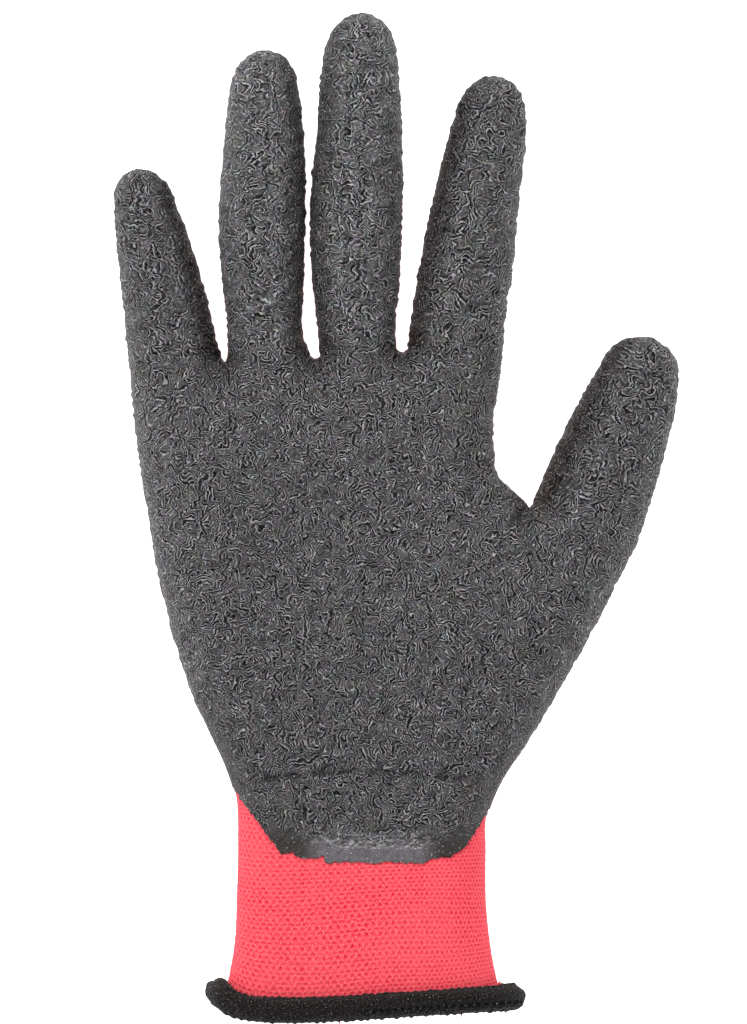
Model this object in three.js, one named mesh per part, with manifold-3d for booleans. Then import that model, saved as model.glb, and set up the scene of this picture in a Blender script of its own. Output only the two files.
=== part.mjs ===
// A right-hand work glove that lies palm up: a seamless knitted liner, a crinkled rubber coating dipped
// over its palm and fingers, and a thick overlocked hem rolled round the mouth of the wrist.
// Millimetres. The fingers point along +Y, the thumb is on the +X side, and the back of the hand rests
// on z = 0. The origin is under the middle of the glove.
import * as THREE from "three";
import { mergeVertices } from "three/addons/utils/BufferGeometryUtils.js";
import Module from "manifold-3d";

const wasm = await Module();
wasm.setup();

// Driving sizes
const LINER_WALL = 1.2;
const COATING_WALL = 0.8;
const GAP = 0.3; // between pieces that touch on the real glove
const HEM_RADIUS = 3.2;
const HEM_SIDES = 10;
const CELLS_ACROSS = 6; // cells across one digit, on the palm side and again on the back
const OVER_SHARE = 0.92; // a digit's height above its side line, as a share of its half width
const UNDER_SHARE = 0.74; // and its depth below it
const CAP_SHARES = [0.5, 0.866]; // where a fingertip's dome has its rings, as shares of its length

// Sections of each digit's knit from root to tip: x and y of the centre, the half width, and lean, the
// section's turn in degrees. The root is drawn from the crotches, and the dome runs from the last
// section to the tip. curl is how far the tip is off the table.
const DIGITS = {
  little: {
    curl: 6.5,
    tip: { x: -63.5, y: 85.6 },
    sections: [
      { x: -55.6, y: 45.4, half: 9.9, lean: 10 },
      { x: -57.1, y: 54.4, half: 9.3, lean: 10 },
      { x: -59.5, y: 66.3, half: 8.2, lean: 11 },
      { x: -61.7, y: 76.8, half: 6.7, lean: 6 },
    ],
  },
  ring: {
    curl: 6,
    tip: { x: -32.0, y: 115.0 },
    sections: [
      { x: -31.9, y: 45.4, half: 8.4, lean: 0 },
      { x: -32.5, y: 57.4, half: 9.0, lean: 0 },
      { x: -32.8, y: 73.5, half: 9.7, lean: 0 },
      { x: -32.3, y: 90.2, half: 9.1, lean: 0 },
      { x: -32.2, y: 105.1, half: 7.6, lean: 0 },
    ],
  },
  middle: {
    curl: 6,
    tip: { x: -8.0, y: 124.3 },
    sections: [
      { x: -9.4, y: 48.4, half: 8.8, lean: 0 },
      { x: -9.5, y: 60.3, half: 9.9, lean: 0 },
      { x: -9.4, y: 78.2, half: 10.4, lean: 0 },
      { x: -8.6, y: 96.2, half: 9.5, lean: 0 },
      { x: -8.5, y: 112.6, half: 8.3, lean: 0 },
    ],
  },
  index: {
    curl: 5.5,
    tip: { x: 25.1, y: 108.6 },
    sections: [
      { x: 15.8, y: 48.4, half: 10.6, lean: -8 },
      { x: 18.1, y: 63.3, half: 10.4, lean: -8 },
      { x: 20.8, y: 81.2, half: 9.4, lean: -8 },
      { x: 23.7, y: 97.6, half: 8.0, lean: -5 },
    ],
  },
  thumb: {
    curl: 8,
    tip: { x: 62.4, y: 43.7 },
    sections: [
      { x: 51.4, y: 9.6, half: 12.4, lean: -18 },
      { x: 55.0, y: 19.3, half: 11.6, lean: -19 },
      { x: 58.3, y: 28.2, half: 10.5, lean: -17 },
      { x: 60.7, y: 35.8, half: 8.9, lean: -10 },
    ],
  },
};
const FINGERS = ["little", "ring", "middle", "index"];

// The bottoms of the crotches between neighbouring digits, and how wide each one's web is.
const CROTCHES = {
  littleRing: { x: -42.2, y: 38.1, web: 2.6 },
  ringMiddle: { x: -19.5, y: 38.8, web: 3.4 },
  middleIndex: { x: 2.0, y: 40.3, web: 4.2 },
  indexThumb: { x: 33.7, y: 1.6, web: 2.6 },
};

// Rows of the hand from the finger roots down to the mouth: the two ends on the side line, the height
// over and depth under it, roll, the radius to which the sides are rounded, sag, the row's dip towards
// the mouth, and lift, how far its underside is off the table.
const HAND_ROWS = [
  { left: [-64.3, 34.1], right: [25.5, 37.0], over: 9.4, under: 7.4, roll: 10 },
  { left: [-64.2, 31.5], right: [25.1, 34.3], over: 9.8, under: 7.5, roll: 10 },
  { left: [-63.7, 26.0], right: [24.1, 28.0], over: 10.8, under: 7.7, roll: 10.5 },
  { left: [-62.8, 18.0], right: [23.6, 18.5], over: 11.8, under: 7.9, roll: 11 },
  { left: [-61.6, 10.0], right: [25.5, 9.4], over: 12.2, under: 8, roll: 11.5 },
];
const THUMB_ROW = { left: [-60.4, 2.5], right: [59.4, -6.2], over: 12.2, under: 8, roll: 12 };
const HEEL_ROWS = [
  { left: [-59.9, -0.5], right: [58.0, -8.6], over: 12.2, under: 8, roll: 12 },
  { left: [-59.0, -6.5], right: [55.2, -14.2], over: 12.4, under: 8, roll: 12.5 },
  { left: [-57.0, -16.5], right: [50.2, -24.0], over: 12.4, under: 8, roll: 13 },
  { left: [-54.1, -28.0], right: [44.5, -34.5], over: 12.2, under: 7.9, roll: 14 },
  { left: [-50.4, -40.0], right: [38.1, -45.5], over: 11.6, under: 7.7, roll: 14 },
  { left: [-46.0, -51.5], right: [31.7, -56.3], over: 10.8, under: 7.4, roll: 13.5 },
  { left: [-41.5, -61.5], right: [26.5, -64.6], over: 10, under: 7, roll: 12 },
];
const WRIST_ROWS = [
  { left: [-39.2, -69.5], right: [23.1, -73.5], over: 9.8, under: 6.8, roll: 11 },
  { left: [-38.8, -81.0], right: [22.8, -82.5], over: 9.4, under: 6.5, roll: 11, sag: 0.6, lift: 0.3 },
  { left: [-39.1, -94.0], right: [22.9, -96.0], over: 9, under: 6.2, roll: 11, sag: 1.6, lift: 1.2 },
  { left: [-39.7, -106.0], right: [24.3, -108.5], over: 8, under: 5.6, roll: 11, sag: 3.4, lift: 3 },
  { left: [-42.2, -119.5], right: [27.3, -122.0], over: 6.4, under: 4.6, roll: 11, sag: 5, lift: 5.2 },
];
const UNDER_ROLL_SHARE = 0.8; // the back of the hand is rounded over a shorter way than the palm
const SAG_SKEW = 0.4; // the sag is deepest towards the little finger's side
const THUMB_FROM = 0.775; // where the thumb's stitches join a row of the heel, as a share of the row
const THUMB_WEB = 0.02;

// Soft mounds and the hollow of the palm.
const MOUNDS = [
  { name: "ball of the thumb", x: 30, y: -22, spread: 15, height: 2.4 },
  { name: "heel of the hand", x: -40, y: -25, spread: 16, height: 1.4 },
  { name: "pads under the fingers", x: -20, y: 24, spread: 18, height: 0.8 },
  { name: "hollow of the palm", x: -10, y: -8, spread: 16, height: -1.8 },
];

// The coating's edge seen from above: it reaches over the whole hand down to this line at the wrist,
// and down the sides to the level that the palm was dipped to.
const DIP_LEVEL = 3.6;
const DIP_EDGE = [
  [-90, -36],
  [-48, -52],
  [-39.4, -67.6],
  [-28, -83.2],
  [-20, -85.2],
  [11, -84.8],
  [16, -83.2],
  [23.8, -73.4],
  [34, -60],
  [90, -36],
];
const DIP_REACH = 160; // further than the fingertips
const MIN_BEND = 0.6; // limits how much further a wall's corners stand off at a sharp bend

// How a row is spread across one digit: close together at its round sides.
const ACROSS = Array.from({ length: CELLS_ACROSS + 1 }, (_, i) => -Math.cos((Math.PI * i) / CELLS_ACROSS));

const lerp = THREE.MathUtils.lerp;
const roundShare = (distance, radius) => Math.sqrt(1 - (1 - Math.min(distance / radius, 1)) ** 2);

// The plan of the glove: its points, each with its place and heights, and its cells, each a loop of
// points.
const points = [];
const cells = [];

function addPoint(x, y, row, extra = {}) {
  points.push({ x, y, over: row.over, under: row.under, roll: row.roll, lift: row.lift ?? 0, ...extra });
  return points.length - 1;
}

// Joins two rows of points, the upper one nearer the fingertips.
function addCells(upper, lower) {
  for (let i = 0; i + 1 < upper.length; i++) cells.push([lower[i], lower[i + 1], upper[i + 1], upper[i]]);
}

// A digit's root, drawn straight between its two ends on the side line.
function rootPoints(from, to, row) {
  return ACROSS.map((t) => {
    const share = (1 + t) / 2;
    return addPoint(lerp(from[0], to[0], share), lerp(from[1], to[1], share), row);
  });
}

// The digit beyond its root: its sections, the rings of its dome, and its tip.
function addDigit(name, root) {
  const { sections, tip, curl } = DIGITS[name];
  const last = sections.at(-1);
  const start = points[root[CELLS_ACROSS / 2]];
  const reach = Math.hypot(tip.x - start.x, tip.y - start.y);
  const domeRings = CAP_SHARES.map((share) => ({
    x: lerp(last.x, tip.x, share),
    y: lerp(last.y, tip.y, share),
    half: last.half * Math.sqrt(1 - share * share),
    lean: last.lean,
  }));
  let lower = root;
  for (const section of [...sections, ...domeRings]) {
    const lean = THREE.MathUtils.degToRad(section.lean);
    const along = Math.hypot(section.x - start.x, section.y - start.y) / reach;
    const size = { over: OVER_SHARE * section.half, under: UNDER_SHARE * section.half };
    size.lift = curl * along ** 2 + UNDER_SHARE * Math.max(0, last.half - section.half);
    const upper = ACROSS.map((t) => {
      const x = section.x + t * section.half * Math.cos(lean);
      const y = section.y + t * section.half * Math.sin(lean);
      return addPoint(x, y, size, { bulge: Math.sqrt(1 - t * t) });
    });
    addCells(upper, lower);
    lower = upper;
  }
  const atTip = { over: 0, under: 0, lift: curl + UNDER_SHARE * last.half };
  const pole = addPoint(tip.x, tip.y, atTip, { bulge: 0 });
  for (let i = 0; i < CELLS_ACROSS; i++) cells.push([lower[i], lower[i + 1], pole]);
}

// A row of the hand whose points keep the given shares of its length. bend is how far each point of
// the row above stands off its own straight line, and fade how much of that is left here.
function handPoints(row, shares, bend, fade) {
  return shares.map((share, i) => {
    const sag = (row.sag ?? 0) * Math.sin(Math.PI * share ** SAG_SKEW);
    const x = lerp(row.left[0], row.right[0], share);
    const y = lerp(row.left[1], row.right[1], share) + bend[i] * fade - sag;
    return addPoint(x, y, row);
  });
}

function bendOf(ids, shares, row) {
  return ids.map((id, i) => points[id].y - lerp(row.left[1], row.right[1], shares[i]));
}

// The finger roots, and the four-finger part of the hand under them.
const webEnds = ({ x, y, web }) => [
  [x - web / 2, y],
  [x + web / 2, y],
];
const [top] = HAND_ROWS;
const fingerEnds = [
  top.left,
  ...webEnds(CROTCHES.littleRing),
  ...webEnds(CROTCHES.ringMiddle),
  ...webEnds(CROTCHES.middleIndex),
  top.right,
];
const roots = FINGERS.map((name, i) => rootPoints(fingerEnds[2 * i], fingerEnds[2 * i + 1], top));
FINGERS.forEach((name, i) => addDigit(name, roots[i]));
const fingerRow = roots.flat();
const fingerShares = fingerRow.map((id) => (points[id].x - top.left[0]) / (top.right[0] - top.left[0]));
const fingerBend = bendOf(fingerRow, fingerShares, top);
let above = fingerRow;
HAND_ROWS.slice(1).forEach((row, i) => {
  const next = handPoints(row, fingerShares, fingerBend, 1 - (i + 1) / HAND_ROWS.length);
  addCells(above, next);
  above = next;
});

// The row where the thumb joins, and the heel of the hand under it.
const [thumbLeft, thumbRight] = webEnds(CROTCHES.indexThumb);
const joined = { ...THUMB_ROW, right: thumbLeft };
const joinedRow = handPoints(joined, fingerShares, fingerBend, 0);
addCells(above, joinedRow);
const thumbRoot = rootPoints(thumbRight, THUMB_ROW.right, THUMB_ROW);
addDigit("thumb", thumbRoot);
const thumbShares = ACROSS.map((t) => lerp(THUMB_FROM + THUMB_WEB, 1, (1 + t) / 2));
const heelShares = [...fingerShares.map((share) => share * THUMB_FROM), ...thumbShares];
above = [...joinedRow, ...thumbRoot];
const heelBend = bendOf(above, heelShares, THUMB_ROW);
HEEL_ROWS.forEach((row, i) => {
  const next = handPoints(row, heelShares, heelBend, 1 - (i + 1) / HEEL_ROWS.length);
  addCells(above, next);
  above = next;
});

// The elastic wrist, down to the mouth.
let aboveMouth = above;
WRIST_ROWS.forEach((row) => {
  const next = handPoints(row, heelShares, heelBend, 0);
  addCells(above, next);
  aboveMouth = above;
  above = next;
});
const mouthRow = above;

// The side line is made of the plan's outer edges, apart from those along the mouth.
const edgeKey = (a, b) => (a < b ? `${a},${b}` : `${b},${a}`);
function outerEdges(loops) {
  const uses = new Map();
  for (const loop of loops)
    loop.forEach((a, i) => {
      const b = loop[(i + 1) % loop.length];
      const key = edgeKey(a, b);
      uses.set(key, uses.has(key) ? null : [a, b]);
    });
  return [...uses.values()].filter(Boolean);
}
const onMouth = new Set(mouthRow);
const sideLine = outerEdges(cells).filter(([a, b]) => !(onMouth.has(a) && onMouth.has(b)));
sideLine.flat().forEach((id) => (points[id].side = true));

function distanceToSide({ x, y }) {
  const here = new THREE.Vector3(x, y, 0);
  const nearest = new THREE.Vector3();
  const at = (id) => new THREE.Vector3(points[id].x, points[id].y, 0);
  const distances = sideLine.map(([a, b]) =>
    new THREE.Line3(at(a), at(b)).closestPointToPoint(here, true, nearest).distanceTo(here),
  );
  return Math.min(...distances);
}

// Each plan point stands for one point on the palm side and one on the back, which are the same on the
// side line. Ids from points.length up are those on the back.
const surface = [];
points.forEach((point, id) => {
  const { x, y, over, under, lift, roll, side, bulge } = point;
  const distance = bulge === undefined ? distanceToSide(point) : 0;
  const bulgeOver = side ? 0 : bulge ?? roundShare(distance, roll);
  const bulgeUnder = side ? 0 : bulge ?? roundShare(distance, roll * UNDER_ROLL_SHARE);
  const mound = MOUNDS.reduce(
    (sum, m) => sum + m.height * Math.exp(-((x - m.x) ** 2 + (y - m.y) ** 2) / (2 * m.spread ** 2)),
    0,
  );
  const sideZ = under + lift;
  surface[id] = new THREE.Vector3(x, y, sideZ + (over + mound) * bulgeOver);
  surface[id + points.length] = new THREE.Vector3(x, y, sideZ - under * bulgeUnder);
});
const backOf = (id) => (points[id].side ? id : id + points.length);
const faces = cells.flatMap((loop) => [loop, loop.map(backOf).reverse()]);

const triangles = faces.flatMap((loop) => loop.slice(2).map((id, i) => [loop[0], loop[i + 1], id]));

// The way from a point of the surface to the same point of a wall's face: outwards, and far enough for
// the face to keep its distance also where the surface bends sharply.
const outward = surface.map(() => new THREE.Vector3());
const facing = triangles.map((ids) => {
  const triangle = new THREE.Triangle(...ids.map((id) => surface[id]));
  return triangle.getNormal(new THREE.Vector3());
});
triangles.forEach((ids, face) => {
  ids.forEach((id, i) => {
    const before = surface[ids[(i + 2) % 3]].clone().sub(surface[id]);
    const after = surface[ids[(i + 1) % 3]].clone().sub(surface[id]);
    outward[id].addScaledVector(facing[face], before.angleTo(after));
  });
});
outward.forEach((way) => way.normalize());
const sharpest = surface.map(() => 1);
triangles.forEach((ids, face) => {
  ids.forEach((id) => (sharpest[id] = Math.min(sharpest[id], outward[id].dot(facing[face]))));
});
outward.forEach((way, id) => way.divideScalar(Math.max(sharpest[id], MIN_BEND)));

// A wall over the whole surface, from one offset of it to another, open at the mouth.
const mouthLoop = outerEdges(faces);
const ids = [...new Set(faces.flat())];
const place = new Map(ids.map((id, i) => [id, i]));
function wallGeometry(inner, outer) {
  const position = [outer, inner].flatMap((offset) =>
    ids.flatMap((id) => surface[id].clone().addScaledVector(outward[id], offset).toArray()),
  );
  const index = [];
  const outside = (id) => place.get(id);
  const inside = (id) => place.get(id) + ids.length;
  for (const [a, b, c] of triangles)
    index.push(outside(a), outside(b), outside(c), inside(a), inside(c), inside(b));
  for (const [a, b] of mouthLoop)
    index.push(outside(b), outside(a), inside(a), outside(b), inside(a), inside(b));
  return geometryFrom(new Float32Array(position), new Uint32Array(index));
}

function geometryFrom(position, index) {
  const geometry = new THREE.BufferGeometry();
  geometry.setAttribute("position", new THREE.BufferAttribute(position, 3));
  geometry.setIndex(new THREE.BufferAttribute(index, 1));
  geometry.computeVertexNormals();
  return geometry;
}

function solidFrom(geometry) {
  const bare = new THREE.BufferGeometry();
  bare.setAttribute("position", geometry.getAttribute("position"));
  bare.setIndex(geometry.index);
  const merged = mergeVertices(bare);
  const mesh = new wasm.Mesh({
    numProp: 3,
    vertProperties: merged.attributes.position.array,
    triVerts: new Uint32Array(merged.index.array),
  });
  return new wasm.Manifold(mesh);
}

// The coating: a thin wall over the knit, kept where the palm was dipped.
function coatingGeometry() {
  const skin = wallGeometry(GAP, GAP + COATING_WALL);
  const corners = [...DIP_EDGE, [DIP_EDGE.at(-1)[0], DIP_REACH], [DIP_EDGE[0][0], DIP_REACH]];
  const plan = new THREE.Shape(corners.map(([x, y]) => new THREE.Vector2(x, y)));
  const bath = new THREE.ExtrudeGeometry(plan, { depth: DIP_REACH, bevelEnabled: false });
  bath.translate(0, 0, DIP_LEVEL);
  const dipped = solidFrom(skin).intersect(solidFrom(bath)).getMesh();
  return geometryFrom(dipped.vertProperties, dipped.triVerts);
}

// The hem: a round roll that lies against the outside of the knit all the way round the mouth, and is
// flattened where it rests.
function hemGeometry() {
  const steps = mouthRow.map((low, i) => ({ low, high: aboveMouth[i] }));
  const backSteps = steps.slice(1, -1).map(({ low, high }) => ({ low: backOf(low), high: backOf(high) }));
  const stations = [...steps, ...backSteps.reverse()];
  const position = stations.flatMap(({ low, high }) => {
    const along = surface[high].clone().sub(surface[low]).normalize();
    const off = outward[low].clone().addScaledVector(along, -outward[low].dot(along)).normalize();
    const out = outward[low].clone().setY(0).normalize();
    const reach = (HEM_RADIUS + GAP - HEM_RADIUS * off.y) / out.dot(off);
    const centre = surface[low].clone().addScaledVector(out, reach);
    centre.y += HEM_RADIUS;
    return Array.from({ length: HEM_SIDES }, (_, side) => {
      const turn = (2 * Math.PI * side) / HEM_SIDES;
      const at = centre.clone().addScaledVector(out, HEM_RADIUS * Math.cos(turn));
      at.y += HEM_RADIUS * Math.sin(turn);
      return [at.x, at.y, Math.max(at.z, 0)];
    }).flat();
  });
  const index = [];
  stations.forEach((_, i) => {
    const next = (i + 1) % stations.length;
    for (let side = 0; side < HEM_SIDES; side++) {
      const beside = (side + 1) % HEM_SIDES;
      const [a, b] = [i * HEM_SIDES + side, next * HEM_SIDES + side];
      const [c, d] = [next * HEM_SIDES + beside, i * HEM_SIDES + beside];
      index.push(a, b, c, a, c, d);
    }
  });
  return geometryFrom(new Float32Array(position), new Uint32Array(index));
}

// The pieces
const knit = new THREE.MeshStandardMaterial({ color: 0xf0404c, roughness: 0.85, metalness: 0 });
const rubber = new THREE.MeshStandardMaterial({ color: 0x4a4a48, roughness: 0.55, metalness: 0 });
const overlock = new THREE.MeshStandardMaterial({ color: 0x231f20, roughness: 0.8, metalness: 0 });

const glove = new THREE.Group();
function addMesh(name, geometry, material) {
  const mesh = new THREE.Mesh(geometry, material);
  mesh.name = name;
  glove.add(mesh);
}
addMesh("knit_liner", wallGeometry(-LINER_WALL, 0), knit);
addMesh("palm_coating", coatingGeometry(), rubber);
addMesh("overlock_hem", hemGeometry(), overlock);

// The origin goes under the middle of the glove, on the table.
const box = new THREE.Box3().setFromObject(glove);
const middle = box.getCenter(new THREE.Vector3());
glove.position.set(-middle.x, -middle.y, 0);

export default glove;
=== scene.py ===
import math

import bpy
import numpy as np
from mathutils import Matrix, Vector, kdtree


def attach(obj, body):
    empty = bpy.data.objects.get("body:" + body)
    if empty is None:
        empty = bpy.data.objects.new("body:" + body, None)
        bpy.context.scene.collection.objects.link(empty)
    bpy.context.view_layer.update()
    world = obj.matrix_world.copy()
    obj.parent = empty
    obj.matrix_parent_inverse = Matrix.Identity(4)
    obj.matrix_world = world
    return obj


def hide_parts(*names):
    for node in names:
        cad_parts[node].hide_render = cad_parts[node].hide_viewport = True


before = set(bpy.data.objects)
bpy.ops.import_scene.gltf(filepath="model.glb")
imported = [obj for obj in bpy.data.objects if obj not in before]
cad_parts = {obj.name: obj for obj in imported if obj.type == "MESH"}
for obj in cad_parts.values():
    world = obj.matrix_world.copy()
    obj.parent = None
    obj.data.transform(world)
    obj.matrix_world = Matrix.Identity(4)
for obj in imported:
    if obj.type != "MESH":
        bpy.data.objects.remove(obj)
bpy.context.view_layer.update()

# The glove lies on a plain white table and is seen from straight above, as in the photo. A long lens
# from far up keeps its outline square to the picture, and broad soft lamps light it from all sides,
# a little more from beyond the fingertips, so that only the gaps between the fingers go dark.
MM = 0.001
PHOTO_SIZE = (747, 1024)
PHOTO_PIXEL = 0.249  # mm
PHOTO_ORIGIN = (394, 518)  # the pixel over the origin of the glove's plan
PLAN_MIDDLE = (-0.5464, -0.2604)  # the plan's origin, in mm from the middle of the glove
CAMERA_HEIGHT = 3.0


def placed(name, data):
    """An object of that name in the scene, with that mesh, lamp or camera."""
    thing = bpy.data.objects.new(name, data)
    bpy.context.collection.objects.link(thing)
    return thing


camera_data = bpy.data.cameras.new("overhead_camera")
camera_data.sensor_fit = "VERTICAL"
camera_data.sensor_height = 24
camera_data.lens = camera_data.sensor_height * CAMERA_HEIGHT / (PHOTO_SIZE[1] * PHOTO_PIXEL * MM)
camera_data.clip_end = 10
camera = placed("overhead_camera", camera_data)
camera.location = (
    ((PHOTO_SIZE[0] / 2 - PHOTO_ORIGIN[0]) * PHOTO_PIXEL + PLAN_MIDDLE[0]) * MM,
    ((PHOTO_ORIGIN[1] - PHOTO_SIZE[1] / 2) * PHOTO_PIXEL + PLAN_MIDDLE[1]) * MM,
    CAMERA_HEIGHT,
)
bpy.context.scene.camera = camera
bpy.context.scene.view_settings.view_transform = "Standard"

LAMPS = [
    {"name": "beyond_the_fingers", "place": (-0.35, 0.85, 1.0), "size": 0.6, "power": 15},
    {"name": "left_side", "place": (-1.1, -0.1, 0.8), "size": 0.9, "power": 7},
    {"name": "right_side", "place": (1.0, -0.35, 0.9), "size": 0.9, "power": 5},
]
for lamp in LAMPS:
    light_data = bpy.data.lights.new(lamp["name"], "AREA")
    light_data.size = lamp["size"]
    light_data.energy = lamp["power"]
    light = placed(lamp["name"], light_data)
    light.location = lamp["place"]
    light.rotation_euler = (-Vector(lamp["place"])).to_track_quat("-Z", "Y").to_euler()

world = bpy.data.worlds.new("studio")
world.use_nodes = True
world.node_tree.nodes["Background"].inputs["Color"].default_value = (1, 1, 1, 1)
world.node_tree.nodes["Background"].inputs["Strength"].default_value = 0.7
bpy.context.scene.world = world


def new_material(name, looks):
    """A material, its node tree and its shader, which has the given looks all over."""
    material = bpy.data.materials.new(name)
    material.use_nodes = True
    shader = material.node_tree.nodes["Principled BSDF"]
    for socket, value in looks.items():
        shader.inputs[socket].default_value = value
    return material, material.node_tree, shader


def add_node(tree, kind, inputs=None, **settings):
    """A node of that kind, with each input set to a value or joined to another node's output."""
    node = tree.nodes.new("ShaderNode" + kind)
    for name, value in settings.items():
        setattr(node, name, value)
    for name, value in (inputs or {}).items():
        if isinstance(value, bpy.types.NodeSocket):
            tree.links.new(value, node.inputs[name])
        else:
            node.inputs[name].default_value = value
    return node


def node_after(kind, inputs, **settings):
    """The same, in the tree of the outputs that it is joined to."""
    tree = next(value.id_data for value in inputs.values() if isinstance(value, bpy.types.NodeSocket))
    return add_node(tree, kind, inputs, **settings)


TABLE_REACH = 1.5
TABLE_DOWN = 0.1 * MM  # a hair under the glove, so that the two never share a face
TABLE_WHITES = (0.93, 0.93, 0.93, 1), (0.95, 0.95, 0.95, 1)
# The table glows evenly as well, which lights the glove a little from below and keeps the gaps between the
# fingers white.
table_material, tree, shader = new_material(
    "white_table", {"Roughness": 0.9, "Emission Color": (1, 1, 1, 1), "Emission Strength": 1.0})
speckle = add_node(tree, "TexNoise", {"Scale": 40.0, "Detail": 3.0}).outputs["Fac"]
table_paint = node_after("Mix", {0: speckle, 6: TABLE_WHITES[0], 7: TABLE_WHITES[1]}, data_type="RGBA")
tree.links.new(table_paint.outputs[2], shader.inputs["Base Color"])
table_mesh = bpy.data.meshes.new("white_table")
corners = ((-1, -1), (1, -1), (1, 1), (-1, 1))
table_points = [(x * TABLE_REACH, y * TABLE_REACH, -TABLE_DOWN) for x, y in corners]
table_mesh.from_pydata(table_points, [], [(0, 1, 2, 3)])
table_mesh.materials.append(table_material)
table = placed("white_table", table_mesh)

# The knitted liner: one seamless tube of coral red yarn, knitted in a single run with a stall for each
# finger and the thumb and an elastic wrist. It keeps the shape of the hand former that it was dipped
# on, and the back of the hand is flat where it lies.

# Each digit's sections from root to tip give x and y of the centre, the half width, and the section's
# turn in degrees, in mm of the plan. curl is how far the tip is off the table, and dim is the
# side, left or right, that lies in its neighbour's shade.
DIGITS = {
    "little": {"dim": 1, "curl": 6.5, "tip": (-63.5, 85.6), "sections": [
        (-55.6, 45.4, 9.9, 10), (-57.1, 54.4, 9.3, 10), (-59.5, 66.3, 8.2, 11), (-61.7, 76.8, 6.7, 6)]},
    "ring": {"dim": 1, "curl": 6, "tip": (-32.0, 115.0), "sections": [
        (-31.9, 45.4, 8.4, 0), (-32.5, 57.4, 9.0, 0), (-32.8, 73.5, 9.7, 0), (-32.3, 90.2, 9.1, 0),
        (-32.2, 105.1, 7.6, 0)]},
    "middle": {"dim": -1, "curl": 6, "tip": (-8.0, 124.3), "sections": [
        (-9.4, 48.4, 8.8, 0), (-9.5, 60.3, 9.9, 0), (-9.4, 78.2, 10.4, 0), (-8.6, 96.2, 9.5, 0),
        (-8.5, 112.6, 8.3, 0)]},
    "index": {"dim": -1, "curl": 5.5, "tip": (25.1, 108.6), "sections": [
        (15.8, 48.4, 10.6, -8), (18.1, 63.3, 10.4, -8), (20.8, 81.2, 9.4, -8), (23.7, 97.6, 8.0, -5)]},
    "thumb": {"dim": -1, "curl": 8, "tip": (62.4, 43.7), "sections": [
        (51.4, 9.6, 12.4, -18), (55.0, 19.3, 11.6, -19), (58.3, 28.2, 10.5, -17), (60.7, 35.8, 8.9, -10)]},
}
FINGERS = ("little", "ring", "middle", "index")
CROTCHES = ((-42.2, 39.3, 2.8), (-19.6, 40.0, 3.6), (2.0, 41.6, 4.2))  # x, y and width of each web
THUMB_CROTCH = (33.7, 3.2, 2.6)
# Rows of the hand from the finger roots down to the mouth: the left end's x and y, the right end's,
# the height over and depth under the side line, the radius of the sides, sag and lift.
HAND_ROWS = [
    (-64.3, 34.1, 25.5, 37.0, 9.4, 7.4, 10, 0, 0),
    (-64.2, 31.5, 25.1, 34.3, 9.8, 7.5, 10, 0, 0),
    (-63.7, 26.0, 24.1, 28.0, 10.8, 7.7, 10.5, 0, 0),
    (-62.8, 18.0, 23.6, 18.5, 11.8, 7.9, 11, 0, 0),
    (-61.6, 10.0, 25.5, 9.4, 12.2, 8, 11.5, 0, 0),
]
THUMB_ROW = (-60.4, 2.5, 59.4, -6.2, 12.2, 8, 12, 0, 0)
HEEL_ROWS = [
    (-59.9, -0.5, 58.0, -8.6, 12.2, 8, 12, 0, 0),
    (-59.0, -6.5, 55.2, -14.2, 12.4, 8, 12.5, 0, 0),
    (-57.0, -16.5, 50.2, -24.0, 12.4, 8, 13, 0, 0),
    (-54.1, -28.0, 44.5, -34.5, 12.2, 7.9, 14, 0, 0),
    (-50.4, -40.0, 38.1, -45.5, 11.6, 7.7, 14, 0, 0),
    (-46.0, -51.5, 31.7, -56.3, 10.8, 7.4, 13.5, 0, 0),
    (-41.5, -61.5, 26.5, -64.6, 10, 7, 12, 0, 0),
]
WRIST_ROWS = [
    (-39.2, -69.5, 23.1, -73.5, 9.8, 6.8, 11, 0, 0),
    (-38.8, -81.0, 22.8, -82.5, 9.4, 6.5, 11, 0.6, 0.3),
    (-39.1, -94.0, 22.9, -96.0, 9, 6.2, 11, 1.6, 1.2),
    (-39.7, -106.0, 24.3, -108.5, 8, 5.6, 11, 3.4, 3),
    (-42.2, -119.5, 27.3, -122.0, 6.4, 4.6, 11, 5, 5.2),
]
MOUNDS = [
    (30, -22, 15, 2.4),  # x, y, spread and height of the ball of the thumb
    (-40, -25, 16, 1.4),  # the heel of the hand
    (-20, 24, 18, 0.8),  # the pads under the fingers
    (-10, -8, 16, -1.8),  # the hollow of the palm
]
OVER_SHARE, UNDER_SHARE = 0.92, 0.74  # a digit's height over and depth under its side line
DOME_SHARES = (0.5, 0.866)  # where a fingertip's dome has its rings
THUMB_FROM, THUMB_WEB = 0.775, 0.02  # where the thumb joins a row of the heel, as shares of the row
SAG_SKEW = 0.4  # the sag is deepest towards the little finger's side
UNDER_ROLL_SHARE = 0.8  # the back of the hand is rounded over a shorter way than the palm
WEB_WIDTH, WEB_DIP = 3, 1.2  # about how wide a web is, and how far it dips
DOME_ROWS, DOME_WAY = 6, 1.6  # the least rows in a fingertip's dome, and its way over the top to its reach
TIP_HALF_SQUARED = 0.01  # keeps the last row before the tip open
DIM_OVER, DIM_FROM, DIM_FADE = 3, 0.3, 0.6  # where the shade starts along a digit, and across it
WRAPS_TO_THUMB = (1, 1, 1, 0.8, 0.4, 0)  # how far the stitches still wrap the index finger's side
WRAPS_FOR, WRAPS_FADE = 14, 8  # and how far round the back they are followed from either side


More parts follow.
